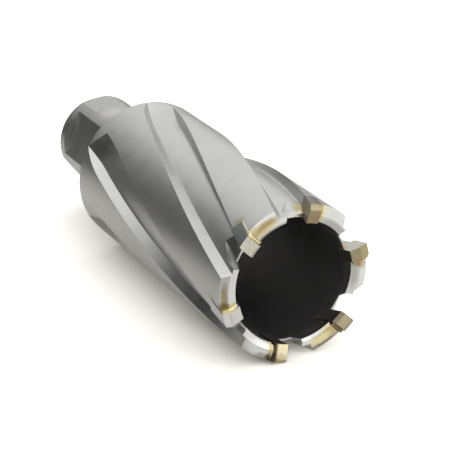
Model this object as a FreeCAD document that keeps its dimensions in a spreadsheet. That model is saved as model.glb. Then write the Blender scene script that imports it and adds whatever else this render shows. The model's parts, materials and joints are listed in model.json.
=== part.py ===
import FreeCAD, Part
import Sketcher
import math
import os
from FreeCAD import Placement, Rotation, Vector

doc = FreeCAD.newDocument("AnnularCutter")
sheet = doc.addObject("Spreadsheet::Sheet", "Sizes")

# X runs along the cutter from the shank to the teeth, Z is up, and x = 0 is the
# body's rear shoulder, where the arbor seats. Angles turn about X from Y to Z.
sizes = {
    # turned blank
    "shankDiameter": 19.05,
    "shankLength": 24.6,
    "shankChamfer": 0.6,
    "rootFillet": 0.5,
    "bodyDiameter": 30.7,
    "bodyLength": 64.2,
    "rearChamfer": 0.4,
    "wallThickness": 3.3,
    "webThickness": 6.2,
    "boreFillet": 1.0,
    "pilotDiameter": 8.0,
    "pilotChamfer": 0.5,
    # driving flat and the shallow flats at the shank's end
    "flatAngle": 158.25,
    "flatDepth": 1.35,
    "flatSetback": 2.8,
    "flatLength": 11.8,
    "endFlatAngle": 97.5,
    "endFlatDepth": 0.42,
    "endFlatLength": 8.1,
    # flutes, seen across the axis at the tooth plane, turned on from the tips
    "toothCount": 6,
    "helixLead": 320.0,
    "fluteDepth": 1.85,
    "fluteTurn": 15.75,
    "rakeWallOuter": 14.25,
    "rakeWallInner": 12.9,
    "backWallOuter": 14.25,
    "backWallInner": 9.6,
    "wheelRadius": 26.0,
    "runOutStart": 10.6,
    # tooth ends
    "endRelief": 3.6,
    "endLift": 0.45,
    "chamferDrop": 0.3,
    "chamferOutside": 0.65,
    "chamferInside": 0.55,
    "roofDrop": 0.55,
    "outerRidge": 1.6,
    "innerRidge": 1.35,
    # carbide tips
    "tipAngle": 136.3,
    "tipThickness": 2.4,
    "tipLength": 5.35,
    "tipProud": 0.95,
    "tipOutside": 0.15,
    "tipInside": 0.2,
    "tipStandOff": 0.45,
    # braze, seats and gullets
    "brazeFilm": 0.2,
    "brazeInset": 0.2,
    "beadHeight": 0.6,
    "beadWidth": 0.6,
    "throatWall": 0.25,
    "throatWheel": 18.0,
    "throatLength": 6.6,
    "throatDrift": 1.5,
    "throatEnd": 2.5,
    "throatShoulder": 2.4,
    "gulletTurn": 13.0,
    "gulletDepth": 1.85,
    "gulletBehind": 2.6,
    "gulletFloor": 0.7,
    "gulletStep": 1.35,
    "gulletAhead": 1.95,
}
for row, (alias, number) in enumerate(sizes.items(), 1):
    sheet.set(f"A{row}", alias)
    sheet.set(f"B{row}", str(number))
    sheet.setAlias(f"B{row}", alias)
doc.recompute()

land = "Sizes.bodyDiameter / 2"
bore = "(Sizes.bodyDiameter / 2 - Sizes.wallThickness)"


def size(alias):
    return float(sheet.get(alias))


bodyRadius = size("bodyDiameter") / 2
boreRadius = bodyRadius - size("wallThickness")


def bind(feature, **expressions):
    for name, text in expressions.items():
        feature.setExpression(name, text)
    return feature


def polar(radius, angle):
    turn = math.radians(angle)
    return Vector(0, radius * math.cos(turn), radius * math.sin(turn))


def outline(name, corners, body=None, placement=None):
    """Closed sketch whose corners are held by expressions over the sheet."""
    home = body.newObject if body else doc.addObject
    sketch = home("Sketcher::SketchObject", name)
    gauge = doc.addObject("App::FeaturePython", "Gauge")
    gauge.addProperty("App::PropertyFloat", "along").addProperty("App::PropertyFloat", "across")
    points = []
    for along, across in corners:
        bind(gauge, along=along, across=across)
        gauge.recompute()
        points.append(Vector(gauge.along, gauge.across, 0))
    doc.removeObject(gauge.Name)
    count = len(points)
    for i in range(count):
        sketch.addGeometry(Part.LineSegment(points[i], points[(i + 1) % count]), False)
    for i in range(count):
        sketch.addConstraint(Sketcher.Constraint("Coincident", i, 2, (i + 1) % count, 1))
    for i in range(count):
        for kind, place, text in (("DistanceX", points[i].x, corners[i][0]),
                                  ("DistanceY", points[i].y, corners[i][1])):
            held = sketch.addConstraint(Sketcher.Constraint(kind, -1, 1, i, 1, place))
            sketch.setExpression(f"Constraints[{held}]", text)
    if placement:
        sketch.Placement = placement
    return sketch


def ring(name, inner, outer):
    """Round sleeve about X that spans the whole cutter."""
    walls = []
    for part, radius in (("Outside", outer), ("Inside", inner)):
        wall = doc.addObject("Part::Cylinder", name + part)
        bind(wall, Radius=radius, Height="Sizes.shankLength + Sizes.bodyLength * 2")
        wall.Placement = Placement(Vector(-size("shankLength"), 0, 0), Rotation(Vector(0, 1, 0), 90))
        walls.append(wall)
    sleeve = doc.addObject("Part::Cut", name)
    sleeve.Base, sleeve.Tool = walls
    return sleeve


def cut(name, base, tool):
    feature = doc.addObject("Part::Cut", name)
    feature.Base, feature.Tool = base, tool
    return feature


def group(name, members):
    compound = doc.addObject("Part::Compound", name)
    compound.Links = members
    return compound


def circleEdge(feature, along, radius):
    """Name of the feature's circular edge of a radius about X at one station."""
    for i, edge in enumerate(feature.Shape.Edges, 1):
        if isinstance(edge.Curve, Part.Circle) and abs(edge.Curve.Radius - radius) < 1e-4 and (
                abs(edge.Curve.Center.x - along) < 1e-4):
            return f"Edge{i}"
    raise RuntimeError("no round edge where one is expected")


# Turned blank: shank, shoulder, shell and the bores, one revolved outline.
blank = doc.addObject("PartDesign::Body", "Blank")
turned = outline("TurnedOutline", [
    ("-Sizes.shankLength", "Sizes.pilotDiameter / 2 + Sizes.pilotChamfer"),
    ("-Sizes.shankLength", "Sizes.shankDiameter / 2 - Sizes.shankChamfer"),
    ("-Sizes.shankLength + Sizes.shankChamfer", "Sizes.shankDiameter / 2"),
    ("0", "Sizes.shankDiameter / 2"),
    ("0", land + " - Sizes.rearChamfer"),
    ("Sizes.rearChamfer", land),
    ("Sizes.bodyLength + Sizes.endLift * 4", land),
    ("Sizes.bodyLength + Sizes.endLift * 4", bore),
    ("Sizes.webThickness", bore),
    ("Sizes.webThickness", "Sizes.pilotDiameter / 2"),
    ("-Sizes.shankLength + Sizes.pilotChamfer", "Sizes.pilotDiameter / 2"),
], body=blank)
planes = {plane.Role: plane for plane in blank.Origin.OriginFeatures}
turned.AttachmentSupport = [(planes["XY_Plane"], "")]
turned.MapMode = "FlatFace"
doc.recompute()
turning = blank.newObject("PartDesign::Revolution", "Turning")
turning.Profile = turned
turning.ReferenceAxis = (turned, ["H_Axis"])
turning.Angle = 360
doc.recompute()
rootFillet = blank.newObject("PartDesign::Fillet", "RootFillet")
rootFillet.Base = (turning, [circleEdge(turning, 0, size("shankDiameter") / 2)])
bind(rootFillet, Radius="Sizes.rootFillet")
doc.recompute()
boreFillet = blank.newObject("PartDesign::Fillet", "BoreFillet")
boreFillet.Base = (rootFillet, [circleEdge(rootFillet, size("webThickness"), boreRadius)])
bind(boreFillet, Radius="Sizes.boreFillet")
blank.Tip = boreFillet
# the turning's seam stands clear of the driving flat
blank.Placement = Placement(Vector(), Rotation(Vector(1, 0, 0), size("flatAngle") - 142.5))
doc.recompute()


# Flats: one deep driving flat with end walls, three shallow ones at the end.
def flat(name, angle, depth, start, length):
    box = doc.addObject("Part::Box", name)
    bind(box, Length=length, Width="Sizes.shankDiameter", Height=depth + " + 1")
    doc.recompute()
    place = Placement(Vector(), Rotation(Vector(1, 0, 0), angle - 90))
    half = size("shankDiameter") / 2
    box.Placement = place.multiply(
        Placement(Vector(start, -half, half - (box.Height.Value - 1)), Rotation()))
    return box


flats = [flat("DrivingFlat", size("flatAngle"), "Sizes.flatDepth",
              size("flatSetback") - size("shankLength"), "Sizes.flatLength")]
for i in range(3):
    flats.append(flat(f"EndFlat{i + 1}", size("endFlatAngle") + 120 * i, "Sizes.endFlatDepth",
                      -size("shankLength") - 1, "Sizes.endFlatLength + 1"))
shanked = cut("Shanked", blank, group("Flats", flats))

# Flutes: the section square to the helix is carried along it, then turned up
# and out about the grinding wheel's centre.
floorRadius = bodyRadius - size("fluteDepth")
twist = 2 * math.pi / size("helixLead")
slope = math.atan(twist * bodyRadius)


def acrossHelix(radius, offset):
    """Place in the plane square to the helix of a wall that stands at an angle
    offset from the flute's middle in the plane across the axis."""
    target = math.radians(offset)
    turn = target
    for step in range(40):
        turn = target - twist * math.tan(slope) * radius * math.sin(turn)
    return radius * math.sin(turn) / math.cos(slope), radius * math.cos(turn)


def wall(outerAlias, innerAlias, side):
    """Corners of a flute wall, run on above the land so the cut comes clear."""
    outer = acrossHelix(bodyRadius, side * size(outerAlias))
    inner = acrossHelix(floorRadius, side * size(innerAlias))
    reach = 1.8
    above = tuple(outer[i] + (outer[i] - inner[i]) * reach for i in (0, 1))
    return inner, above


middle = size("tipAngle") + size("fluteTurn") - math.degrees(twist) * (size("bodyLength") - size("runOutStart"))
radial = polar(1, middle)
around = polar(1, middle + 90)
along = Vector(1, 0, 0)
tangent = along * math.cos(slope) + around * math.sin(slope)
lateral = around * math.cos(slope) - along * math.sin(slope)
foot = Vector(size("runOutStart"), 0, 0)


def inSection(place):
    return foot + lateral * place[0] + radial * place[1]


rakeFoot, rakeTop = wall("rakeWallOuter", "rakeWallInner", -1)
backFoot, backTop = wall("backWallOuter", "backWallInner", 1)
floorBow = floorRadius / math.cos(slope) ** 2
floorMiddle = inSection((0, floorRadius))
halfFloor = (backFoot[0] - rakeFoot[0]) / 2


def onFloor(across):
    return inSection((across, floorRadius - floorBow + math.sqrt(floorBow ** 2 - across ** 2)))


sectionEdges = [
    Part.Arc(onFloor(rakeFoot[0]), floorMiddle, onFloor(backFoot[0])).toShape(),
    Part.makeLine(onFloor(backFoot[0]), inSection(backTop)),
    Part.makeLine(inSection(backTop), inSection(rakeTop)),
    Part.makeLine(inSection(rakeTop), onFloor(rakeFoot[0])),
]
section = Part.Wire(sectionEdges)
path = Part.makeLongHelix(size("helixLead"), size("bodyLength") - size("runOutStart") + 6, bodyRadius, 0)
path.Placement = Placement(foot, Rotation(Vector(1, 0, 0), middle).multiply(
    Rotation(Vector(1, 1, 1), 120)))
flute = Part.Wire(path.Edges).makePipeShell([section], True, True)
wheelCentre = inSection((0, floorRadius + size("wheelRadius")))
runOut = Part.Face(section).revolve(wheelCentre, lateral * -1, 32)
fluteTool = flute.fuse(runOut).removeSplitter()
fluteCutter = doc.addObject("Part::Feature", "FluteCutter")
pitch = 360 / size("toothCount")
teeth = range(int(size("toothCount")))
fluteCutter.Shape = Part.makeCompound([
    fluteTool.transformed(Placement(Vector(), Rotation(Vector(1, 0, 0), pitch * k)).toMatrix())
    for k in teeth])
fluted = cut("Fluted", shanked, fluteCutter)

# Tooth ends: a flat with two small chamfers, a roof with its ridge near the
# outside and a roof with its ridge near the bore follow one another.
endShapes = [
    ("Sizes.chamferDrop", bore + " + Sizes.chamferInside", land + " - Sizes.chamferOutside"),
    ("Sizes.roofDrop", land + " - Sizes.outerRidge", None),
    ("Sizes.roofDrop", bore + " + Sizes.innerRidge", None),
]


def endCorners(drop, inner, outer):
    """Drop below the crest and radius, the slopes run on past both walls."""
    outer = outer or inner
    corners = [(f"{drop} * (1 + 1.2 / ({inner} - {bore}))", f"{bore} - 1.2"), ("0", inner)]
    if outer != inner:
        corners.append(("0", outer))
    corners.append((f"{drop} * (1 + 2 / ({land} - ({outer})))", f"{land} + 2"))
    return corners


def endTool(k, lift, name):
    """Waste above one tooth's end, as a turned sector tilted by the relief."""
    level = f"Sizes.bodyLength + Sizes.endLift + {lift}"
    corners = [(f"{level} - {drop}", radius) for drop, radius in endCorners(*endShapes[k % 3])]
    corners += [(f"{level} + 5", corners[-1][1]), (f"{level} + 5", corners[0][1])]
    tipMiddle = size("tipAngle") + pitch * k
    start = tipMiddle - 41
    profile = outline(f"{name}Outline{k + 1}", corners,
                      placement=Placement(Vector(), Rotation(Vector(1, 0, 0), start)))
    tool = doc.addObject("Part::Revolution", f"{name}{k + 1}")
    tool.Source = profile
    tool.Axis = Vector(1, 0, 0)
    tool.Base = Vector(0, 0, 0)
    tool.Angle = 57
    tool.Solid = True
    centre = Vector(size("bodyLength"), 0, 0)
    tool.Placement = Placement(Vector(), Rotation(polar(1, tipMiddle - 17), size("endRelief")), centre)
    return tool


trimmed = cut("Trimmed", fluted, group("SteelEnds", [endTool(k, "0", "SteelEnd") for k in teeth]))


# Seats, throats and gullets. The block frame has X along the tip, Y outwards
# and Z through its thickness towards the rake face.
def blockFrame(k):
    tilt = Rotation(Vector(0, 1, 0), -math.degrees(slope))
    turn = Rotation(Vector(1, 0, 0), size("tipAngle") + pitch * k)
    origin = Vector(size("bodyLength") + size("endLift") + size("tipProud"), 0, 0)
    return Placement(origin, turn.multiply(tilt))


def block(name, k, back, low, rear, thickness, tall, length):
    box = doc.addObject("Part::Box", f"{name}{k + 1}")
    bind(box, Length=length, Width=tall, Height=thickness)
    box.Placement = blockFrame(k).multiply(Placement(Vector(rear, low, back), Rotation()))
    return box


low = boreRadius - size("tipInside") - 1
half = size("tipThickness") / 2
film = size("brazeFilm")
acrossWall = "Sizes.wallThickness + Sizes.tipInside + Sizes.tipOutside + 2"
seats = [block("Seat", k, -half - film, low, -size("tipLength") - film,
               "Sizes.tipThickness + Sizes.brazeFilm", acrossWall,
               "Sizes.tipLength + Sizes.brazeFilm + 3") for k in teeth]


def alongRadius(name, corners, angle):
    """Prism that runs outwards from the axis over an outline drawn along the
    cutter and across it, counted from the tooth plane."""
    face = Rotation(Vector(1, 0, 0), angle)
    place = Placement(Vector(size("bodyLength"), 0, 0), face.multiply(Rotation(Vector(1, 0, 0), 90)))
    prism = doc.addObject("Part::Extrusion", name)
    prism.Base = outline(f"{name}Outline", corners, placement=place)
    prism.DirMode = "Custom"
    prism.Dir = polar(1, angle)
    bind(prism, LengthFwd=land + " + Sizes.tipOutside + 2")
    prism.Solid = True
    return prism


# The throat ahead of a tip is ground by a wheel that thins the wall towards the
# teeth; the gullet then notches the thin wall through.
throats, gullets = [], []
for k in teeth:
    angle = size("tipAngle") + size("gulletTurn") + pitch * k
    plan = alongRadius(f"ThroatPlan{k + 1}", [
        ("5", "-Sizes.gulletBehind"),
        ("-Sizes.throatLength / 2", "-Sizes.gulletBehind - Sizes.throatDrift * 0.4"),
        ("-Sizes.throatLength", "-Sizes.gulletBehind - Sizes.throatDrift"),
        ("-Sizes.throatLength", "Sizes.throatEnd - Sizes.gulletBehind - Sizes.throatDrift"),
        ("-Sizes.throatShoulder", "Sizes.gulletAhead - Sizes.throatDrift * 0.27"),
        ("0", "Sizes.gulletAhead"), ("5", "Sizes.gulletAhead")], angle)
    wheel = doc.addObject("Part::Cylinder", f"ThroatWheel{k + 1}")
    bind(wheel, Radius="Sizes.throatWheel", Height="Sizes.bodyDiameter")
    helical = Rotation(Vector(1, 0, 0), angle).multiply(Rotation(Vector(0, 1, 0), -math.degrees(slope)))
    wheel.Placement = Placement(Vector(size("bodyLength"), 0, 0), helical).multiply(Placement(
        Vector(0, boreRadius + size("throatWall") + size("throatWheel"), -bodyRadius), Rotation()))
    throat = doc.addObject("Part::Common", f"Throat{k + 1}")
    throat.Base, throat.Tool = plan, wheel
    throats.append(throat)
    gullets.append(alongRadius(f"Gullet{k + 1}", [
        ("5", "-Sizes.gulletBehind"), ("-Sizes.gulletDepth", "-Sizes.gulletBehind"),
        ("-Sizes.gulletDepth", "Sizes.gulletFloor"),
        ("-Sizes.gulletDepth / 2", "Sizes.gulletStep"), ("0", "Sizes.gulletAhead"),
        ("5", "Sizes.gulletAhead + 1")], angle))
seated = cut("Seated", trimmed, group("Seats", seats))
throated = cut("Throated", seated, group("Throats", throats))
cutterBody = cut("CutterBody", throated, group("Gullets", gullets))
cutterBody.Label = "cutter_body"

# Carbide tips and their braze.
tipRing = ring("TipRing", bore + " - Sizes.tipInside", land + " + Sizes.tipOutside")
wallRing = ring("WallRing", bore + " + Sizes.brazeInset", land)
pieces = [cutterBody]
for k in teeth:
    raw = block("Carbide", k, -half, low, -size("tipLength"), "Sizes.tipThickness", acrossWall,
                "Sizes.tipLength + 3")
    ground = doc.addObject("Part::Common", f"Ground{k + 1}")
    ground.Base, ground.Tool = raw, tipRing
    tip = cut(f"CarbideTip{k + 1}", ground, endTool(k, "Sizes.tipProud", "TipEnd"))
    tip.Label = f"carbide_tip_{k + 1}"

    step = "-Sizes.tipProud / cos(atan(2 * pi / Sizes.helixLead * Sizes.bodyDiameter / 2))"
    film = outline(f"BrazeOutline{k + 1}", [
        ("-Sizes.tipLength - Sizes.brazeFilm * 2", "Sizes.tipThickness / 2 - Sizes.tipStandOff"),
        ("-Sizes.tipLength - Sizes.brazeFilm * 2", "-Sizes.tipThickness / 2 - Sizes.brazeFilm * 2"),
        (step + " - Sizes.roofDrop", "-Sizes.tipThickness / 2 - Sizes.brazeFilm * 2"),
        (step, "-Sizes.tipThickness / 2 - Sizes.beadWidth"),
        (step + " + Sizes.beadHeight * 2", "-Sizes.tipThickness / 2"),
        (step + " + Sizes.beadHeight * 2", "0"),
        ("-Sizes.tipLength / 2", "Sizes.tipThickness / 2 - Sizes.tipStandOff"),
    ])
    film.Placement = blockFrame(k).multiply(Placement(Vector(0, low, 0), Rotation(Vector(1, 0, 0), 90)))
    slab = doc.addObject("Part::Extrusion", f"BrazeSlab{k + 1}")
    slab.Base = film
    slab.DirMode = "Custom"
    slab.Dir = blockFrame(k).Rotation.multVec(Vector(0, 1, 0))
    bind(slab, LengthFwd=acrossWall)
    slab.Solid = True
    inWall = doc.addObject("Part::Common", f"BrazeInWall{k + 1}")
    inWall.Base, inWall.Tool = slab, wallRing
    levelled = cut(f"BrazeLevelled{k + 1}", inWall, endTool(k, "Sizes.beadHeight", "BeadEnd"))
    offBody = cut(f"BrazeOffBody{k + 1}", levelled, cutterBody)
    braze = cut(f"Braze{k + 1}", offBody, tip)
    braze.Label = f"braze_{k + 1}"
    pieces += [tip, braze]

doc.recompute()
for feature in doc.Objects:
    if {"Invalid", "Error"} & set(feature.State):
        raise RuntimeError(feature.Name + " did not compute")
os.makedirs("parts", exist_ok=True)
for piece in pieces:
    shape = piece.Shape
    if shape.isNull() or not shape.isValid() or len(shape.Solids) != 1:
        raise RuntimeError(f"{piece.Label} is not one sound solid: {len(shape.Solids)}")
    print(piece.Label, round(shape.Volume, 2), len(shape.Faces))
    shape.exportStep(os.path.join("parts", piece.Label + ".step"))
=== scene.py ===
import json
import math

import bpy
from mathutils import Matrix, Vector

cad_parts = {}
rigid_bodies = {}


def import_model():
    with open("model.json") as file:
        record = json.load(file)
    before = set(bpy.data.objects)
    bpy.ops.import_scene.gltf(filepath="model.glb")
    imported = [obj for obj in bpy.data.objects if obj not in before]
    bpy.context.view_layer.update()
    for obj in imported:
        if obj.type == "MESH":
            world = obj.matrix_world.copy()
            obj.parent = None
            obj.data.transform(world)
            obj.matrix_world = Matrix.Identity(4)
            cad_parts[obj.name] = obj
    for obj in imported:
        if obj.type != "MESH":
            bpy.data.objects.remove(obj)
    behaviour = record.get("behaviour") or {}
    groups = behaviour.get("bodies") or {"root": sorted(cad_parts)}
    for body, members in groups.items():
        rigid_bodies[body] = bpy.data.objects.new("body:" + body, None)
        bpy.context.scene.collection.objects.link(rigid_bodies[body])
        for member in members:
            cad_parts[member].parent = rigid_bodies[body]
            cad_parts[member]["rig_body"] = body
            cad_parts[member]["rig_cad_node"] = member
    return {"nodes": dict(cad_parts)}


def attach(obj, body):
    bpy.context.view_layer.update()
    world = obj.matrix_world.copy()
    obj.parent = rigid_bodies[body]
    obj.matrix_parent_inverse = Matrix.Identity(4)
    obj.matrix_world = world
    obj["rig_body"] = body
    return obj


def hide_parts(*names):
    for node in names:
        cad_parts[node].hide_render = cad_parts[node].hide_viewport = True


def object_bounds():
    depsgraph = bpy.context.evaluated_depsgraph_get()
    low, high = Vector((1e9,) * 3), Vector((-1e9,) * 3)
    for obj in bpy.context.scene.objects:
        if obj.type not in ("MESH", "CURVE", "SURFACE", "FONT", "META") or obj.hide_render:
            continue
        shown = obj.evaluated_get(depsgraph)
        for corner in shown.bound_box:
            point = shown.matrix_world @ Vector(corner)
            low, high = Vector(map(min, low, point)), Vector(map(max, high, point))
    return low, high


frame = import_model()
cadLow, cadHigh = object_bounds()

mm = 0.001

# where the teeth and flutes stand, as packed
toothCount = 6
tipAngle = 136.3                  # degrees about X from Y, the first tip
pitch = 360 / toothCount          # degrees from tooth to tooth
turnPerMm = 360 / 320             # degrees, the flutes' helix

noiseLow, noiseHigh = 0.3, 0.7    # most of a noise texture's values lie between these


def hexColour(text):
    channels = [int(text[i:i + 2], 16) / 255 for i in (1, 3, 5)]
    linear = [c / 12.92 if c <= 0.04045 else ((c + 0.055) / 1.055) ** 2.4 for c in channels]
    return (*linear, 1.0)


def addNode(tree, kind, settings=None, links=None):
    node = tree.nodes.new(kind)
    for name, value in (settings or {}).items():
        if isinstance(name, int) or name in node.inputs:
            node.inputs[name].default_value = value
        else:
            setattr(node, name, value)
    for name, source in (links or {}).items():
        tree.links.new(source, node.inputs[name])
    return node


def newMaterial(name):
    material = bpy.data.materials.new(name)
    material.use_nodes = True
    tree = material.node_tree
    tree.nodes.clear()
    return material, tree


# Camera, at the photograph's place and lens.
camera = {
    "location": Vector((332.68, -151.98, 138.87)) * mm,
    "right": Vector((0.4569, 0.8897, 0.0)),
    "up": Vector((-0.3403, 0.1750, 0.9240)),
    "back": Vector((0.8219, -0.4222, 0.3830)),
    "lens": 147.5,                # mm
    "sensor": 36.0,
    "clip": (0.01, 20.0),         # m
}


def placeCamera():
    lens = bpy.data.cameras.new("photoCamera")
    lens.lens = camera["lens"]
    lens.sensor_width = camera["sensor"]
    lens.clip_start, lens.clip_end = camera["clip"]
    eye = bpy.data.objects.new("photoCamera", lens)
    bpy.context.scene.collection.objects.link(eye)
    turn = Matrix((camera["right"], camera["up"], camera["back"])).transposed().to_4x4()
    eye.matrix_world = Matrix.Translation(camera["location"]) @ turn
    bpy.context.scene.camera = eye


placeCamera()
print("camera placed")

# Studio: a white tent, dark at the far left and brightest overhead, over a matt white sheet.
studio = {
    "floorSide": 6.0,             # m
    "sheetColour": "#dbdad7",
    "sheetSeen": "#dad8d3",       # its shadows look a little warm
    "sheetGain": 2.15,            # the sheet is exposed to white for the camera
    "metalGain": 1.8,             # and a little less for what the metal mirrors
    "benchColour": "#3c3b39",     # what the metal mirrors at the dark side
    "benchAside": (0.05, -0.14),  # m along Y, where the sheet ends and where only bench is left
    "benchBehind": (-0.03, -0.16),    # the same along X, behind the shank
    "flagAlong": (0.015, 0.045),  # m along X, a dark flag lies beside the teeth: its edge and where it is full
    "flagAside": (-0.02, -0.05),  # the same along Y
    "darkSide": (-0.499, -0.865, -0.05),      # direction
    "darkTo": 0.08,               # cosines from the dark side, where it ends and where it is full
    "darkFrom": 0.97,
    "darkStrength": 0.21,
    "tentStrength": 1.0,
    "panels": (                   # bright panels and dark ones: direction, edge and full cosine, strength
        ((-0.35, -0.28, 0.894), 0.80, 0.97, 0.40),
        ((0.93, 0.0, 0.37), 0.55, 0.90, 0.40),
        ((-0.99, 0.0, -0.12), 0.83, 0.97, -0.5),
        ((-0.38, -0.82, 0.43), 0.82, 0.98, -0.25),
        ((-0.58, 0.80, 0.15), 0.92, 0.985, -0.5),
    ),
}


def floorMaterial():
    # A matt white sheet on a grey bench. Only the camera sees white all over.
    material, tree = newMaterial("mattWhiteSheet")
    place = addNode(tree, "ShaderNodeTexCoord")
    parts = addNode(tree, "ShaderNodeSeparateXYZ", links={0: place.outputs["Object"]})
    dark = {}
    for name, axis in (("benchAside", "Y"), ("benchBehind", "X"), ("flagAlong", "X"), ("flagAside", "Y")):
        begins, full = studio[name]
        dark[name] = addNode(tree, "ShaderNodeMapRange", {"From Min": begins, "From Max": full}, {
            "Value": parts.outputs[axis]}).outputs["Result"]
    bench = addNode(tree, "ShaderNodeMath", {"operation": "MAXIMUM"}, {
        0: dark["benchAside"], 1: dark["benchBehind"]})
    flag = addNode(tree, "ShaderNodeMath", {"operation": "MULTIPLY"}, {
        0: dark["flagAlong"], 1: dark["flagAside"]})
    bench = addNode(tree, "ShaderNodeMath", {"operation": "MAXIMUM"}, {0: bench.outputs[0], 1: flag.outputs[0]})
    path = addNode(tree, "ShaderNodeLightPath")
    sheetColour = hexColour(studio["sheetColour"])[:3]
    mirrored = addNode(tree, "ShaderNodeMix", {
        "data_type": "RGBA", 6: (*(c * studio["metalGain"] for c in sheetColour), 1.0),
        7: hexColour(studio["benchColour"])}, {0: bench.outputs[0]})
    unseen = addNode(tree, "ShaderNodeMix", {"data_type": "RGBA", 6: (*sheetColour, 1.0)}, {
        0: path.outputs["Is Glossy Ray"], 7: mirrored.outputs[2]})
    seenColour = hexColour(studio["sheetSeen"])[:3]
    colour = addNode(tree, "ShaderNodeMix", {
        "data_type": "RGBA", 7: (*(c * studio["sheetGain"] for c in seenColour), 1.0)}, {
        0: path.outputs["Is Camera Ray"], 6: unseen.outputs[2]})
    sheet = addNode(tree, "ShaderNodeBsdfDiffuse", links={"Color": colour.outputs[2]})
    addNode(tree, "ShaderNodeOutputMaterial", links={"Surface": sheet.outputs[0]})
    return material


def tentWorld():
    world = bpy.data.worlds.new("tent")
    world.use_nodes = True
    tree = world.node_tree
    tree.nodes.clear()
    towards = addNode(tree, "ShaderNodeTexCoord")
    dark = addNode(tree, "ShaderNodeVectorMath", {"operation": "DOT_PRODUCT", 1: studio["darkSide"]}, {
        0: towards.outputs["Generated"]})
    tent = addNode(tree, "ShaderNodeMapRange", {
        "interpolation_type": "SMOOTHSTEP", "From Min": studio["darkTo"], "From Max": studio["darkFrom"],
        "To Min": studio["tentStrength"], "To Max": studio["darkStrength"]},
        {"Value": dark.outputs["Value"]})
    level = tent.outputs["Result"]
    for direction, edge, full, strength in studio["panels"]:
        aim = addNode(tree, "ShaderNodeVectorMath", {
            "operation": "DOT_PRODUCT", 1: Vector(direction).normalized()}, {0: towards.outputs["Generated"]})
        panel = addNode(tree, "ShaderNodeMapRange", {
            "interpolation_type": "SMOOTHSTEP", "From Min": edge, "From Max": full,
            "To Min": 0.0, "To Max": strength}, {"Value": aim.outputs["Value"]})
        level = addNode(tree, "ShaderNodeMath", {"operation": "ADD"}, {
            0: level, 1: panel.outputs["Result"]}).outputs[0]
    path = addNode(tree, "ShaderNodeLightPath")
    lit = addNode(tree, "ShaderNodeBackground", {"Color": hexColour("#ffffff")}, {"Strength": level})
    white = addNode(tree, "ShaderNodeBackground", {"Color": hexColour("#ffffff"), "Strength": 1.0})
    seen = addNode(tree, "ShaderNodeMixShader", links={
        0: path.outputs["Is Camera Ray"], 1: lit.outputs[0], 2: white.outputs[0]})
    addNode(tree, "ShaderNodeOutputWorld", links={"Surface": seen.outputs[0]})
    return world


def buildStudio():
    bpy.ops.object.select_all(action="DESELECT")
    bpy.ops.mesh.primitive_plane_add(size=studio["floorSide"], location=(0, 0, cadLow.z))
    floor = bpy.context.object
    floor.name = "floor"
    floor.data.materials.append(floorMaterial())
    bpy.context.scene.world = tentWorld()
    bpy.context.scene.view_settings.view_transform = "Standard"


buildStudio()
print("studio lit")


# Finishes. Places on the body are told as by a turner: along the axis, out from it, and round it.
turning = {
    "seamTurn": -152,             # degrees, puts the angle's seam where nothing is stained
    "wallRadius": 13.7,           # mm, where the way round is measured
    "patchEdge": (1.25, 0.4),     # times its reach, where a patch begins and where it is full
}


def turnedPlace(tree, warp, warpSize):
    place = addNode(tree, "ShaderNodeTexCoord").outputs["Object"]
    turn = addNode(tree, "ShaderNodeMapping", {
        "Rotation": (math.radians(turning["seamTurn"]), 0, 0)}, {"Vector": place})
    parts = addNode(tree, "ShaderNodeSeparateXYZ", links={0: turn.outputs["Vector"]})
    angle = addNode(tree, "ShaderNodeMath", {"operation": "ARCTAN2"}, {
        0: parts.outputs["Z"], 1: parts.outputs["Y"]})
    around = addNode(tree, "ShaderNodeMath", {"operation": "MULTIPLY", 1: turning["wallRadius"] * mm}, {
        0: angle.outputs[0]})
    side = addNode(tree, "ShaderNodeVectorMath", {"operation": "MULTIPLY", 1: (0, 1, 1)}, {0: place})
    out = addNode(tree, "ShaderNodeVectorMath", {"operation": "LENGTH"}, {0: side.outputs[0]})
    turned = addNode(tree, "ShaderNodeCombineXYZ", links={
        "X": parts.outputs["X"], "Y": out.outputs["Value"], "Z": around.outputs[0]})
    wander = addNode(tree, "ShaderNodeTexNoise", {"Scale": 1 / (warpSize * mm), "Detail": 2.0}, {
        "Vector": place})
    centred = addNode(tree, "ShaderNodeVectorMath", {"operation": "SUBTRACT", 1: (0.5, 0.5, 0.5)}, {
        0: wander.outputs["Color"]})
    shift = addNode(tree, "ShaderNodeVectorMath", {"operation": "SCALE", "Scale": warp * mm}, {
        0: centred.outputs[0]})
    warped = addNode(tree, "ShaderNodeVectorMath", {"operation": "ADD"}, {
        0: turned.outputs[0], 1: shift.outputs[0]})
    return place, turned.outputs[0], warped.outputs[0]


def paintStainsAndLight(tree, warped, colour, stainsAndPaintedLight):
    # each patch of heat stain, painted shade and painted highlight alike: along, out (mm), round (degrees), its
    # reach in mm each way, strength, colour
    edge, full = turning["patchEdge"]
    for along, out, angle, reach, strength, tint in stainsAndPaintedLight:
        turned = (angle + turning["seamTurn"] + 180) % 360 - 180
        centre = (along * mm, out * mm, math.radians(turned) * turning["wallRadius"] * mm)
        away = addNode(tree, "ShaderNodeVectorMath", {"operation": "SUBTRACT", 1: centre}, {0: warped})
        scaled = addNode(tree, "ShaderNodeVectorMath", {
            "operation": "MULTIPLY", 1: tuple(1 / (side * mm) for side in reach)}, {0: away.outputs[0]})
        length = addNode(tree, "ShaderNodeVectorMath", {"operation": "LENGTH"}, {0: scaled.outputs[0]})
        mask = addNode(tree, "ShaderNodeMapRange", {
            "interpolation_type": "SMOOTHSTEP", "From Min": edge, "From Max": full, "To Max": strength},
            {"Value": length.outputs["Value"]})
        colour = addNode(tree, "ShaderNodeMix", {"data_type": "RGBA", 7: hexColour(tint)}, {
            0: mask.outputs["Result"], 6: colour}).outputs[2]
    return colour


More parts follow.
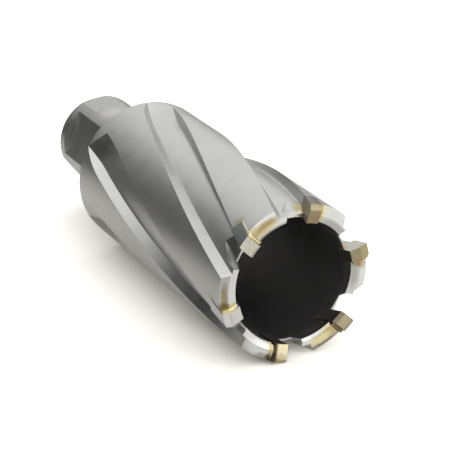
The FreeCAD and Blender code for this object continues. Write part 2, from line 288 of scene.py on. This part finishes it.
# Tool steel, flutes milled, then blasted all over. The bore is turned and a little darker, and looks
# black from outside because it is deep.
steel = {
    "colour": "#cbcbc8",
    "shankColour": "#b6b6b4",
    "boreColour": "#b2b1b1",
    "shankAlong": (0.2, -0.2),    # mm, where the shank's colour begins and is full
    "boreEdge": (12.20, 12.12),   # mm out, where the bore's colour begins and is full
    "boreMouth": (62.9, 60.4),    # mm along, where it fades towards the teeth
    "boreAlong": (0.0, 1.0),      # mm, not in the shank
    "roughness": 0.37,
    "groundRoughness": 0.30,      # tooth ends, ground after blasting
    "groundFrom": (63.4, 63.7),   # mm along
    "grain": 0.22,                # mm, the blasted pits, drawn coarser than real to show
    "grainTone": (0.955, 1.03),
    "grainDepth": 0.012,          # mm
    "grainStrength": 0.35,
    "cloud": 3.5,                 # mm, uneven blasting
    "cloudTone": (0.95, 1.04),
    "cloudRoughness": 0.10,       # spread
    "turningPitch": 0.9,          # mm, tool marks in the bore, wider than real so that they show
    "turningWander": 0.6,
    "turningTone": 1.10,
    "turningDepth": 0.015,        # mm
    "turningStrength": 0.5,
    "edgeRadius": 0.07,           # mm, broken edges
    "edgeSamples": 8,
    "rootRadius": 1.15,           # mm, the cutter's rounding at the foot of the flute walls
    "rootOut": (14.9, 14.3),      # mm out, where the edge radius ends and the root radius is full
    "rootAbove": 12.8,            # mm out, the bore's side of it keeps the edge radius
    "rootAlong": (58.5, 57.5),    # and along
    "rootSide": (17.0, 13.0),     # degrees across each flute, so that one foot stays sharp
    "wander": (0.6, 0.8),         # mm, how far and how finely a patch's edge wanders
    "stainsAndPaintedLight": [                   # patches of heat stain, and a few of painted shade and painted highlight: along, out (mm), round (degrees), reach (mm), strength, colour
        # painted shade, grey on the end wall of a flat on the shank
        (-21.8, 8.7, 158.3, (0.5, 2.4, 6.0), 0.8, "#888885"),
        # painted highlight, a pale patch on the shank beside the flats
        (-13.4, 9.5, 103.0, (2.8, 1.2, 3.8), 0.6, "#d6d4cd"),
        (60.1, 15.35, 127.6, (1.3, 0.8, 1.2), 0.65, "#b5a980"),
        (64.7, 13.9, 124.0, (1.8, 1.2, 3.2), 1.0, "#ad9f78"),
        (64.6, 13.95, 115.4, (1.8, 0.95, 2.9), 1.0, "#a08f6a"),
        (64.7, 14.7, 127.0, (1.4, 0.9, 1.5), 0.8, "#b5a883"),
        (64.7, 13.2, 119.0, (1.2, 0.5, 3.8), 0.8, "#c6b890"),
        (64.7, 12.35, 120.0, (1.0, 0.3, 3.8), 0.75, "#8d8068"),
        # painted shade, grey in the gullet ahead of the first tip
        (61.3, 12.7, 149.8, (2.6, 1.2, 1.5), 0.75, "#a6a6a2"),
        (64.25, 14.5, -179.0, (1.3, 0.7, 3.1), 0.95, "#a0966f"),
        (64.3, 14.6, -172.2, (1.3, 1.1, 1.1), 1.0, "#776b45"),
        (60.9, 15.35, -175.6, (1.4, 0.8, 0.9), 0.7, "#bdb394"),
        # painted reflection, near white on the third tooth's end
        (64.4, 13.8, -121.5, (1.2, 1.8, 3.7), 0.95, "#f1f1ee"),
        (64.3, 15.2, -111.4, (1.5, 1.1, 0.9), 0.8, "#6e6046"),
        (64.3, 15.1, -116.5, (1.3, 0.9, 1.6), 0.6, "#938971"),
        (64.6, 12.9, -113.0, (1.0, 1.3, 0.6), 0.85, "#f1e8c8"),
        (63.6, 12.05, -118.0, (1.3, 0.4, 2.9), 0.7, "#a89476"),
        (64.7, 13.5, -57.0, (1.8, 1.5, 2.6), 1.0, "#bfae7d"),
        (64.6, 13.7, -67.0, (1.6, 1.1, 2.9), 1.0, "#eee3b6"),
        (64.4, 13.1, -78.0, (1.2, 1.3, 1.6), 0.8, "#f8f7f0"),
        (64.3, 15.2, -64.0, (1.3, 0.7, 4.6), 0.9, "#857e68"),
        (64.9, 13.3, -51.0, (1.3, 2.5, 0.38), 1.0, "#4d3f29"),
        (61.6, 12.05, -57.5, (1.6, 0.4, 1.6), 0.55, "#a8946c"),
        (64.6, 14.0, 4.8, (1.4, 1.2, 1.1), 0.95, "#ad9a72"),
        (64.6, 12.8, 6.0, (1.2, 1.0, 0.9), 0.9, "#7d7258"),
        (64.3, 12.7, -4.5, (1.4, 0.85, 3.2), 0.75, "#a3a49e"),
        (61.6, 12.8, 20.5, (1.2, 1.1, 1.0), 0.95, "#e0cf96"),
        (60.7, 13.1, 77.8, (2.6, 1.4, 1.3), 0.85, "#b8aa78"),
        (61.7, 12.8, 79.6, (0.6, 0.7, 0.5), 0.8, "#efe6c2"),
        (62.3, 12.5, 86.5, (1.2, 0.5, 1.6), 0.6, "#e6e3d9"),
        (64.7, 14.4, 66.8, (1.3, 1.8, 1.0), 0.75, "#d9cfa8"),
        (64.2, 12.5, 50.0, (1.2, 0.9, 4.5), 0.8, "#a8a7a3"),
    ],
}


def edgeRadius(tree, parts):
    # the broken edges' radius, or the root radius where a flute's wall meets its floor
    out, full = steel["rootOut"]
    foot = addNode(tree, "ShaderNodeMapRange", {"From Min": out * mm, "From Max": full * mm}, {
        "Value": parts.outputs["Y"]})
    tooth, flute = steel["rootAlong"]
    fluted = addNode(tree, "ShaderNodeMapRange", {
        "From Min": tooth * mm, "From Max": flute * mm, "To Min": 0.0,
        "To Max": (steel["rootRadius"] - steel["edgeRadius"]) * mm}, {"Value": parts.outputs["X"]})
    outside = addNode(tree, "ShaderNodeMath", {"operation": "GREATER_THAN", 1: steel["rootAbove"] * mm}, {
        0: parts.outputs["Y"]})
    feet = addNode(tree, "ShaderNodeMath", {"operation": "MULTIPLY"}, {
        0: foot.outputs["Result"], 1: outside.outputs[0]})
    degrees = addNode(tree, "ShaderNodeMath", {
        "operation": "MULTIPLY_ADD", 1: math.degrees(1 / (turning["wallRadius"] * mm)),
        2: -turning["seamTurn"]}, {0: parts.outputs["Z"]})
    unwound = addNode(tree, "ShaderNodeMath", {"operation": "MULTIPLY_ADD", 1: -turnPerMm / mm}, {
        0: parts.outputs["X"], 2: degrees.outputs[0]})
    across = addNode(tree, "ShaderNodeMath", {"operation": "FLOORED_MODULO", 1: pitch}, {
        0: unwound.outputs[0]})
    sharpFrom, roundFrom = steel["rootSide"]
    side = addNode(tree, "ShaderNodeMapRange", {"From Min": sharpFrom, "From Max": roundFrom}, {
        "Value": across.outputs[0]})
    feet = addNode(tree, "ShaderNodeMath", {"operation": "MULTIPLY"}, {
        0: feet.outputs[0], 1: side.outputs["Result"]})
    return addNode(tree, "ShaderNodeMath", {"operation": "MULTIPLY_ADD", 2: steel["edgeRadius"] * mm}, {
        0: feet.outputs[0], 1: fluted.outputs["Result"]}).outputs[0]


def steelMaterial():
    # Satin grey, brighter on the ground tooth ends; straw and brown where brazing heated it; grey and
    # near-white patches make it darker or lighter in places, some of them painted shade and painted highlights.
    material, tree = newMaterial("blastedToolSteel")
    place, turned, warped = turnedPlace(tree, *steel["wander"])
    parts = addNode(tree, "ShaderNodeSeparateXYZ", links={0: turned})
    cloud = addNode(tree, "ShaderNodeTexNoise", {"Scale": 1 / (steel["cloud"] * mm), "Detail": 3.0}, {
        "Vector": place})
    grain = addNode(tree, "ShaderNodeTexNoise", {"Scale": 1 / (steel["grain"] * mm), "Detail": 2.0}, {
        "Vector": place})
    body, full = steel["shankAlong"]
    shank = addNode(tree, "ShaderNodeMapRange", {"From Min": body * mm, "From Max": full * mm}, {
        "Value": parts.outputs["X"]})
    colour = addNode(tree, "ShaderNodeMix", {
        "data_type": "RGBA", 6: hexColour(steel["colour"]), 7: hexColour(steel["shankColour"])},
        {0: shank.outputs["Result"]}).outputs[2]
    edge, full = steel["boreEdge"]
    inside = addNode(tree, "ShaderNodeMapRange", {"From Min": edge * mm, "From Max": full * mm}, {
        "Value": parts.outputs["Y"]})
    rim, deep = steel["boreMouth"]
    depth = addNode(tree, "ShaderNodeMapRange", {
        "interpolation_type": "SMOOTHSTEP", "From Min": rim * mm, "From Max": deep * mm}, {
        "Value": parts.outputs["X"]})
    bottom, full = steel["boreAlong"]
    below = addNode(tree, "ShaderNodeMapRange", {"From Min": bottom * mm, "From Max": full * mm}, {
        "Value": parts.outputs["X"]})
    walls = addNode(tree, "ShaderNodeMath", {"operation": "MULTIPLY"}, {
        0: inside.outputs["Result"], 1: depth.outputs["Result"]})
    bore = addNode(tree, "ShaderNodeMath", {"operation": "MULTIPLY"}, {
        0: walls.outputs[0], 1: below.outputs["Result"]})
    colour = addNode(tree, "ShaderNodeMix", {"data_type": "RGBA", 7: hexColour(steel["boreColour"])}, {
        0: bore.outputs[0], 6: colour}).outputs[2]
    colour = paintStainsAndLight(tree, warped, colour, steel["stainsAndPaintedLight"])
    darkest, lightest = steel["cloudTone"]
    patchy = addNode(tree, "ShaderNodeMapRange", {
        "From Min": noiseLow, "From Max": noiseHigh, "To Min": darkest, "To Max": lightest}, {
        "Value": cloud.outputs["Fac"]})
    darkest, lightest = steel["grainTone"]
    pitted = addNode(tree, "ShaderNodeMapRange", {
        "From Min": noiseLow, "From Max": noiseHigh, "To Min": darkest, "To Max": lightest}, {
        "Value": grain.outputs["Fac"]})
    shade = addNode(tree, "ShaderNodeMath", {"operation": "MULTIPLY"}, {
        0: patchy.outputs["Result"], 1: pitted.outputs["Result"]})
    wavesPerScale = 20 / (2 * math.pi)      # how many a wave texture has to a metre at scale 1
    rings = addNode(tree, "ShaderNodeTexWave", {
        "bands_direction": "X", "Scale": 1 / (wavesPerScale * steel["turningPitch"] * mm),
        "Distortion": steel["turningWander"], "Detail": 1.0}, {"Vector": place})
    ringHeight = addNode(tree, "ShaderNodeMath", {"operation": "MULTIPLY"}, {
        0: rings.outputs["Fac"], 1: bore.outputs[0]})
    turnedTone = addNode(tree, "ShaderNodeMapRange", {"To Min": 1.0, "To Max": steel["turningTone"]}, {
        "Value": ringHeight.outputs[0]})
    shade = addNode(tree, "ShaderNodeMath", {"operation": "MULTIPLY"}, {
        0: shade.outputs[0], 1: turnedTone.outputs["Result"]})
    colour = addNode(tree, "ShaderNodeMix", {"data_type": "RGBA", "blend_type": "MULTIPLY", 0: 1.0}, {
        6: colour, 7: shade.outputs[0]}).outputs[2]
    blastedTo, groundFrom = steel["groundFrom"]
    ground = addNode(tree, "ShaderNodeMapRange", {
        "From Min": blastedTo * mm, "From Max": groundFrom * mm,
        "To Min": steel["roughness"], "To Max": steel["groundRoughness"]}, {"Value": parts.outputs["X"]})
    spread = steel["cloudRoughness"]
    uneven = addNode(tree, "ShaderNodeMath", {"operation": "MULTIPLY_ADD", 1: spread, 2: -spread / 2}, {
        0: cloud.outputs["Fac"]})
    roughness = addNode(tree, "ShaderNodeMath", {"operation": "ADD"}, {
        0: ground.outputs["Result"], 1: uneven.outputs[0]})
    edges = addNode(tree, "ShaderNodeBevel", {"samples": steel["edgeSamples"]}, {
        "Radius": edgeRadius(tree, parts)})
    blasted = addNode(tree, "ShaderNodeBump", {
        "Strength": steel["grainStrength"], "Distance": steel["grainDepth"] * mm}, {
        "Height": grain.outputs["Fac"], "Normal": edges.outputs[0]})
    marked = addNode(tree, "ShaderNodeBump", {
        "Strength": steel["turningStrength"], "Distance": steel["turningDepth"] * mm}, {
        "Height": ringHeight.outputs[0], "Normal": blasted.outputs[0]})
    shader = addNode(tree, "ShaderNodeBsdfPrincipled", {"Metallic": 1.0}, {
        "Base Color": colour, "Roughness": roughness.outputs[0], "Normal": marked.outputs[0]})
    addNode(tree, "ShaderNodeOutputMaterial", links={"Surface": shader.outputs["BSDF"]})
    return material


# Cemented carbide, ground on every face; heat and flux have tinted the cutting ends, and each face also carries
# painted light and shade for the way it faces.
# Each list goes round from the first tip to the sixth.
carbide = {
    # painted light and shade: each face of each tip has its own colour, a lit or shaded copy over its heat tint
    "sideTintAndPaintedLight": ["#8f9690", "#d6d4d8", "#dcd6ca", "#dcdad4", "#e6e1d6", "#8a8073"],
    "innerTintAndPaintedLight": ["#c2beae", "#e0e2e0", "#cac1a2", "#7b7362", "#998e72", "#8c7c63"],
    "endTintAndPaintedLight": ["#bbb8a9", "#c2c1bb", "#eadfba", "#b0a689", "#998e72", "#8c7c63"],
    "outerTintAndPaintedLight": ["#b0ae9f", "#e2e2e0", "#b5ab8e", "#9a9178", "#9a8f6c", "#b4a787"],
    "burntColour": "#5c4e36",
    "burnt": [                    # mm across the tip where its burnt edge begins, and its strength
        (-1.5, 0.0), (-1.5, 0.0), (-0.9, 0.9), (-1.25, 0.5), (-1.2, 0.3), (-1.25, 0.4),
    ],
    "burntFade": (0.08, 0.12),    # mm, how far it fades before that edge and after it
    "endFacing": (0.55, 0.75),    # how far forwards a face looks, from a side to an end
    "outerFacing": (0.12, 0.18),  # how far outwards an end's outer facet looks
    "innerFacing": (-0.38, -0.44),    # and its inner one
    "boreFacing": (-0.9, -0.6),   # the side towards the bore isn't burnt
    "roughness": 0.30,
    "grinding": 0.12,             # mm between the wheel's marks, coarser than real to show
    "grindingLength": 12.5,       # times as long as they lie apart
    "grindingDepth": 0.008,       # mm
    "grindingStrength": 0.3,
    "mottle": 0.8,                # mm, patches of heat tint
    "mottleTone": (0.93, 1.05),
    "edgeRadius": 0.05,           # mm, broken edges
    "edgeSamples": 4,
}


def carbideMaterial(k):
    # Grey flanks and straw-tinted ends, each face lighter or darker by painted light and shade; faint lines
    # from the wheel.
    material, tree = newMaterial(f"groundCarbide{k + 1}")
    turn = math.radians(tipAngle + pitch * k)
    place = addNode(tree, "ShaderNodeTexCoord")
    facing = addNode(tree, "ShaderNodeSeparateXYZ", links={0: place.outputs["Normal"]})
    outward = addNode(tree, "ShaderNodeVectorMath", {
        "operation": "DOT_PRODUCT", 1: (0, math.cos(turn), math.sin(turn))}, {0: place.outputs["Normal"]})
    looks = {}
    for name, way in (
            ("endFacing", facing.outputs["X"]), ("outerFacing", outward.outputs["Value"]),
            ("innerFacing", outward.outputs["Value"]), ("boreFacing", outward.outputs["Value"])):
        begins, full = carbide[name]
        looks[name] = addNode(tree, "ShaderNodeMapRange", {"From Min": begins, "From Max": full}, {
            "Value": way}).outputs["Result"]
    # painted light and shade: the colour is picked by the way each face looks, over the heat tint
    ends = addNode(tree, "ShaderNodeMix", {
        "data_type": "RGBA", 6: hexColour(carbide["endTintAndPaintedLight"][k]), 7: hexColour(carbide["outerTintAndPaintedLight"][k])},
        {0: looks["outerFacing"]})
    ends = addNode(tree, "ShaderNodeMix", {"data_type": "RGBA", 7: hexColour(carbide["innerTintAndPaintedLight"][k])}, {
        0: looks["innerFacing"], 6: ends.outputs[2]})
    colour = addNode(tree, "ShaderNodeMix", {"data_type": "RGBA", 6: hexColour(carbide["sideTintAndPaintedLight"][k])}, {
        0: looks["endFacing"], 7: ends.outputs[2]})
    across = addNode(tree, "ShaderNodeVectorMath", {
        "operation": "DOT_PRODUCT", 1: (0, -math.sin(turn), math.cos(turn))}, {0: place.outputs["Object"]})
    edge, burning = carbide["burnt"][k]
    before, after = carbide["burntFade"]
    burnt = addNode(tree, "ShaderNodeMapRange", {
        "interpolation_type": "SMOOTHSTEP", "From Min": (edge + before) * mm, "From Max": (edge - after) * mm,
        "To Max": burning}, {"Value": across.outputs["Value"]})
    burntEnd = addNode(tree, "ShaderNodeMath", {"operation": "MULTIPLY"}, {
        0: burnt.outputs["Result"], 1: looks["boreFacing"]})
    colour = addNode(tree, "ShaderNodeMix", {"data_type": "RGBA", 7: hexColour(carbide["burntColour"])}, {
        0: burntEnd.outputs[0], 6: colour.outputs[2]})
    patches = addNode(tree, "ShaderNodeTexNoise", {"Scale": 1 / (carbide["mottle"] * mm), "Detail": 3.0}, {
        "Vector": place.outputs["Object"]})
    darkest, lightest = carbide["mottleTone"]
    tone = addNode(tree, "ShaderNodeMapRange", {
        "From Min": noiseLow, "From Max": noiseHigh, "To Min": darkest, "To Max": lightest}, {
        "Value": patches.outputs["Fac"]})
    colour = addNode(tree, "ShaderNodeMix", {"data_type": "RGBA", "blend_type": "MULTIPLY", 0: 1.0}, {
        6: colour.outputs[2], 7: tone.outputs["Result"]})
    stretch = addNode(tree, "ShaderNodeMapping", {"Scale": (1 / carbide["grindingLength"], 1.0, 1.0)}, {
        "Vector": place.outputs["Object"]})
    lines = addNode(tree, "ShaderNodeTexNoise", {"Scale": 1 / (carbide["grinding"] * mm), "Detail": 1.0}, {
        "Vector": stretch.outputs["Vector"]})
    edges = addNode(tree, "ShaderNodeBevel", {
        "samples": carbide["edgeSamples"], "Radius": carbide["edgeRadius"] * mm})
    marks = addNode(tree, "ShaderNodeBump", {
        "Strength": carbide["grindingStrength"], "Distance": carbide["grindingDepth"] * mm}, {
        "Height": lines.outputs["Fac"], "Normal": edges.outputs[0]})
    shader = addNode(tree, "ShaderNodeBsdfPrincipled", {
        "Metallic": 1.0, "Roughness": carbide["roughness"]}, {
        "Base Color": colour.outputs[2], "Normal": marks.outputs[0]})
    addNode(tree, "ShaderNodeOutputMaterial", links={"Surface": shader.outputs["BSDF"]})
    return material


# Silver braze, run in from a rod and left as it froze, with a burnt edge against the tip.
braze = {
    "colour": ["#dccf9e", "#f6e9b0", "#efe6c4", "#7c6c50", "#a08c66", "#cdbb8c"],
    "burntColour": "#64543a",
    "burnt": [                    # mm across the tip where the burnt edge begins and is full, strength
        (-1.52, -1.40, 0.55), (-1.52, -1.40, 0.1), (-1.95, -1.75, 1.0),
        (-1.60, -1.42, 1.0), (-1.52, -1.40, 0.7), (-1.52, -1.40, 0.6),
    ],
    "stainsAndPaintedLight": [                   # as on the steel, for each seam
        [
            (60.7, 15.4, 126.0, (1.3, 0.6, 1.4), 0.8, "#c2b68e"),
            (63.2, 15.4, 128.5, (2.4, 0.6, 1.8), 0.9, "#f6ecca"),
        ],
        [(62.3, 15.4, -172.4, (3.2, 0.6, 2.0), 0.9, "#968b70")],
        [
            (62.8, 15.4, -112.0, (3.4, 0.7, 2.0), 1.0, "#62543c"),
            (64.8, 15.2, -110.5, (1.8, 0.9, 1.2), 0.8, "#6e6046"),
            (61.5, 11.8, -112.0, (3.0, 0.5, 2.4), 0.9, "#c8bda8"),
        ],
        [], [], [],
    ],
    "roughness": 0.34,
    "lump": 0.45,                 # mm, the frozen ripples
    "lumpTone": (0.82, 1.08),
    "lumpDepth": 0.05,            # mm
    "lumpStrength": 0.5,
    "wander": (0.3, 0.5),         # mm, as on the steel
}


def brazeMaterial(k):
    # Pale yellow, lumpy and half bright.
    material, tree = newMaterial(f"silverBraze{k + 1}")
    turn = math.radians(tipAngle + pitch * k)
    place, _, warped = turnedPlace(tree, *braze["wander"])
    across = addNode(tree, "ShaderNodeVectorMath", {
        "operation": "DOT_PRODUCT", 1: (0, -math.sin(turn), math.cos(turn))}, {0: place})
    near, full, burning = braze["burnt"][k]
    burnt = addNode(tree, "ShaderNodeMapRange", {
        "interpolation_type": "SMOOTHSTEP", "From Min": near * mm, "From Max": full * mm, "To Max": burning}, {
        "Value": across.outputs["Value"]})
    lumps = addNode(tree, "ShaderNodeTexNoise", {"Scale": 1 / (braze["lump"] * mm), "Detail": 2.0}, {
        "Vector": place})
    darkest, lightest = braze["lumpTone"]
    tone = addNode(tree, "ShaderNodeMapRange", {
        "From Min": noiseLow, "From Max": noiseHigh, "To Min": darkest, "To Max": lightest}, {
        "Value": lumps.outputs["Fac"]})
    colour = addNode(tree, "ShaderNodeMix", {
        "data_type": "RGBA", 6: hexColour(braze["colour"][k]), 7: hexColour(braze["burntColour"])},
        {0: burnt.outputs["Result"]})
    colour = paintStainsAndLight(tree, warped, colour.outputs[2], braze["stainsAndPaintedLight"][k])
    colour = addNode(tree, "ShaderNodeMix", {"data_type": "RGBA", "blend_type": "MULTIPLY", 0: 1.0}, {
        6: colour, 7: tone.outputs["Result"]})
    frozen = addNode(tree, "ShaderNodeBump", {
        "Strength": braze["lumpStrength"], "Distance": braze["lumpDepth"] * mm}, {
        "Height": lumps.outputs["Fac"]})
    shader = addNode(tree, "ShaderNodeBsdfPrincipled", {
        "Metallic": 1.0, "Roughness": braze["roughness"]}, {
        "Base Color": colour.outputs[2], "Normal": frozen.outputs[0]})
    addNode(tree, "ShaderNodeOutputMaterial", links={"Surface": shader.outputs["BSDF"]})
    return material


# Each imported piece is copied, welded and shaded smooth between its edges.
dressing = {
    "weld": 0.002,                # mm
    "smoothUnder": 10,            # degrees
}

# The grinder's ridges aren't quite even: on two teeth the outer one drifts in behind the tip,
# and on four tips the ridge lies further out than on the steel behind them.
ridges = {
    "teeth": (0, 3),
    "teethAlong": 63.3,           # mm, only what lies beyond is a tooth's end
    "outer": 14.69,               # mm from the axis, where the ridge starts
    "near": 0.05,                 # mm, what lies this near it is on the ridge
    "behind": (8.0, 50.0),        # degrees behind the tip's middle, where the drift begins and ends
    "drift": 0.0021,              # mm for each degree squared
    "tipsAlong": 65.0,            # mm, only what lies beyond is a tip's end
    "core": 11.85,                # mm from the axis, where the tips end inwards and outwards
    "rim": 15.5,
    "tips": {                     # ridge as packed, where it lies, and how far the end falls each way
        0: (14.67, 15.08, 0.0, 0.37),
        1: (13.72, 14.60, 0.66, 0.59),
        2: (13.37, 14.94, 0.66, 0.57),
        5: (13.37, 14.42, 0.66, 0.57),
    },
}


def driftRidge(piece, k):
    middle = tipAngle + pitch * k
    begins, ends = ridges["behind"]
    for vertex in piece.data.vertices:
        along, y, z = vertex.co / mm
        out = math.hypot(y, z)
        behind = (middle - math.degrees(math.atan2(z, y)) + 180) % 360 - 180
        onRidge = along > ridges["teethAlong"] and abs(out - ridges["outer"]) < ridges["near"]
        if onRidge and begins < behind < ends:
            scale = 1 - ridges["drift"] * (behind - begins) ** 2 / out
            vertex.co = Vector((along, y * scale, z * scale)) * mm


def endFall(out, ridge, inwards, outwards):
    if out < ridge:
        return inwards * (ridge - out) / (ridge - ridges["core"])
    return outwards * (out - ridge) / (ridges["rim"] - ridge)


def moveTipRidge(piece, k):
    packed, ridge, inwards, outwards = ridges["tips"][k]
    for vertex in piece.data.vertices:
        along, y, z = vertex.co / mm
        if along > ridges["tipsAlong"]:
            out = math.hypot(y, z)
            along += endFall(out, packed, inwards, outwards) - endFall(out, ridge, inwards, outwards)
            vertex.co = Vector((along, y, z)) * mm


def dressed(node, name, material):
    source = frame["nodes"][node]
    bpy.ops.object.select_all(action="DESELECT")
    source.select_set(True)
    bpy.context.view_layer.objects.active = source
    bpy.ops.object.duplicate()
    piece = bpy.context.object
    piece.name = name
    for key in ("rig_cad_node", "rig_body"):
        if key in piece:
            del piece[key]
    bpy.ops.mesh.customdata_custom_splitnormals_clear()
    bpy.ops.object.mode_set(mode="EDIT")
    bpy.ops.mesh.select_all(action="SELECT")
    bpy.ops.mesh.remove_doubles(threshold=dressing["weld"] * mm)
    bpy.ops.object.mode_set(mode="OBJECT")
    bpy.ops.object.shade_smooth_by_angle(angle=math.radians(dressing["smoothUnder"]))
    piece.data.materials.clear()
    piece.data.materials.append(material)
    piece.parent = None
    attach(piece, "root")
    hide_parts(node)
    return piece


# Along each seam on the outside runs a thin bead of braze, uneven as it froze.
bead = {
    "path": [                     # mm along, and across from the tip's middle
        (60.75, -2.82), (61.9, -2.46), (63.1, -2.12), (64.4, -1.90), (64.95, -1.80),
    ],
    "out": 15.23,                 # mm from the axis, half sunk in the seam
    "width": 0.50,                # mm
    "swell": [1.0, 0.7, 0.95, 0.75, 1.0],     # how thick it is at each point, shifted from seam to seam
    "roundSteps": 2,
    "alongSteps": 5,
}


def addBead(k, seam):
    turn = math.radians(tipAngle + pitch * k)
    curve = bpy.data.curves.new("bead", "CURVE")
    curve.dimensions = "3D"
    curve.bevel_depth = bead["width"] / 2 * mm
    curve.bevel_resolution = bead["roundSteps"]
    curve.use_fill_caps = True
    line = curve.splines.new("NURBS")
    line.points.add(len(bead["path"]) - 1)
    for i, (along, across) in enumerate(bead["path"]):
        out = math.sqrt(bead["out"] ** 2 - across ** 2)
        y = out * math.cos(turn) - across * math.sin(turn)
        z = out * math.sin(turn) + across * math.cos(turn)
        line.points[i].co = (along * mm, y * mm, z * mm, 1)
        line.points[i].radius = bead["swell"][(i + k) % len(bead["swell"])]
    line.order_u = 3
    line.use_endpoint_u = True
    line.resolution_u = bead["alongSteps"]
    curve.materials.append(seam.data.materials[0])
    tube = bpy.data.objects.new("bead", curve)
    bpy.context.scene.collection.objects.link(tube)
    bpy.ops.object.select_all(action="DESELECT")
    tube.select_set(True)
    bpy.context.view_layer.objects.active = tube
    bpy.ops.object.convert(target="MESH")
    bpy.ops.object.shade_smooth()
    seam.select_set(True)
    bpy.context.view_layer.objects.active = seam
    bpy.ops.object.join()


body = dressed("cutter_body", "cutterBody", steelMaterial())
for k in ridges["teeth"]:
    driftRidge(body, k)
for k in range(toothCount):
    tip = dressed(f"carbide_tip_{k + 1}", f"carbideTip{k + 1}", carbideMaterial(k))
    if k in ridges["tips"]:
        moveTipRidge(tip, k)
    seam = dressed(f"braze_{k + 1}", f"brazeSeam{k + 1}", brazeMaterial(k))
    addBead(k, seam)
print("pieces dressed")
